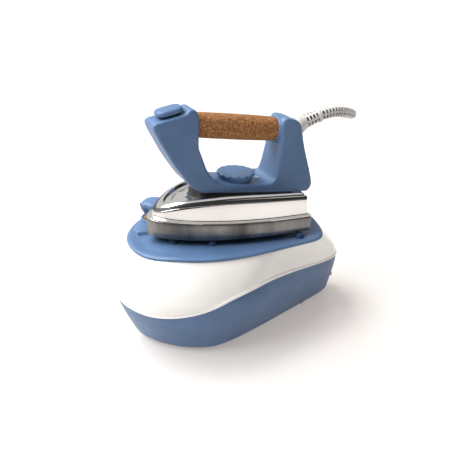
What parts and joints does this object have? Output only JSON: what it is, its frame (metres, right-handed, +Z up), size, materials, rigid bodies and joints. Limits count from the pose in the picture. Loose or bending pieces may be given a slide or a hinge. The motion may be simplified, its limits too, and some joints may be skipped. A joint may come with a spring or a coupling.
{
  "type": "steam ironing station",
  "caption": "Boiler ironing station: two-tone base with filler cap and tray, and a chrome steam iron with a cork grip resting on it, joined by a steam hose.",
  "frame": {"origin": "floor level under the middle of the station's box, without the hose", "axes": "+Z up, +X from the iron's tip to its hose end, -Y the side seen in the picture"},
  "size_m": [0.441, 0.4419, 0.3287],
  "materials": {
    "blue_plastic": "satin moulded, mid blue",
    "white_plastic": "high gloss",
    "black_plastic": "matt heat-resistant",
    "grey_plastic": "satin light grey",
    "cork": "pressed granulated cork, matt",
    "chrome": "polished chrome plate",
    "sole_metal": "brushed",
    "brushed_steel": "brushed",
    "aluminium": "satin",
    "brass": "satin",
    "rubber": "matt",
    "blue_rubber": "matt",
    "hose_fabric": "woven sleeve, off-white",
    "lamp_lens": "clear amber lens"
  },
  "bodies": {
    "base": {"lower_tub": "blue_plastic", "upper_shell": "white_plastic", "rest_tray": "blue_plastic", "pad_front_near": "blue_rubber", "pad_front_far": "blue_rubber", "pad_mid_near": "blue_rubber", "pad_mid_far": "blue_rubber", "pad_rear_near": "blue_rubber", "pad_rear_far": "blue_rubber", "side_stop_near": "blue_rubber", "side_stop_far": "blue_rubber", "foot_front_near": "rubber", "foot_front_far": "rubber", "foot_rear_near": "rubber", "foot_rear_far": "rubber", "boiler_lower": "brushed_steel", "boiler_upper": "brushed_steel", "filler_neck": "brass", "base_heating_element": "brushed_steel", "boiler_thermostat": "black_plastic", "thermal_fuse": "aluminium", "solenoid_valve": "brass", "solenoid_coil": "black_plastic", "solenoid_core": "brushed_steel", "valve_pipe": "brass", "pressure_switch": "grey_plastic", "terminal_block": "white_plastic", "rear_panel": "grey_plastic", "ready_lamp": "lamp_lens", "mains_gland": "rubber", "hose_gland": "grey_plastic", "steam_hose_lower": "hose_fabric", "steam_hose_coil": "hose_fabric"},
    "iron": {"soleplate": "sole_metal", "iron_cover": "chrome", "thermal_spacer": "black_plastic", "cover_plate": "aluminium", "chamber_lid": "aluminium", "iron_thermostat": "brass", "steam_inlet": "brass", "handle_body": "blue_plastic", "cork_grip": "cork", "grip_rod": "brushed_steel", "pilot_lamp": "lamp_lens", "hose_collar": "grey_plastic", "hose_boot": "grey_plastic", "steam_hose_upper": "hose_fabric", "microswitch": "black_plastic", "button_spring": "brushed_steel"},
    "steam_button": {"steam_button": "blue_plastic"},
    "temperature_dial": {"temperature_dial": "blue_plastic", "dial_spindle": "brushed_steel"},
    "cap_plug": {"cap_seal": "rubber"},
    "cap_knob": {"filler_cap": "blue_plastic"},
    "rocker_main": {"rocker_main": "black_plastic"},
    "rocker_boiler": {"rocker_boiler": "black_plastic"}
  },
  "joints": [
    {"name": "iron_lift", "type": "slide", "parent": "base", "child": "iron", "axis": [0, 0, 1], "range_m": [0, 0.2]},
    {"name": "steam_button_press", "type": "slide", "parent": "iron", "child": "steam_button", "axis": [0.1587, 0, -0.9873], "range_m": [0, 0.0025], "stiffness_N_per_m": 450, "springref_m": -0.002, "deforming": ["button_spring"]},
    {"name": "temperature_dial_turn", "type": "hinge", "parent": "iron", "child": "temperature_dial", "pos_m": [0.01015, 0, 0.22736], "axis": [0.0501, 0, 0.9987], "range_deg": [-150, 120]},
    {"name": "cap_plug_lift", "type": "slide", "parent": "base", "child": "cap_plug", "axis": [0, 0, 1], "range_m": [0, 0.0061]},
    {"name": "cap_turn", "type": "hinge", "parent": "cap_plug", "child": "cap_knob", "pos_m": [-0.0935, 0.054, 0.17], "axis": [0, 0, 1], "range_deg": [0, 720]},
    {"name": "rocker_main_press", "type": "hinge", "parent": "base", "child": "rocker_main", "pos_m": [0.1645, -0.0165, 0.048], "axis": [0, 1, 0], "range_deg": [0, 14]},
    {"name": "rocker_boiler_press", "type": "hinge", "parent": "base", "child": "rocker_boiler", "pos_m": [0.1645, 0.0015, 0.048], "axis": [0, 1, 0], "range_deg": [0, 14]}
  ],
  "couplings": [
    {"joint": "cap_plug_lift", "follows": "cap_turn", "m_per_rad": 0.00047746}
  ]
}
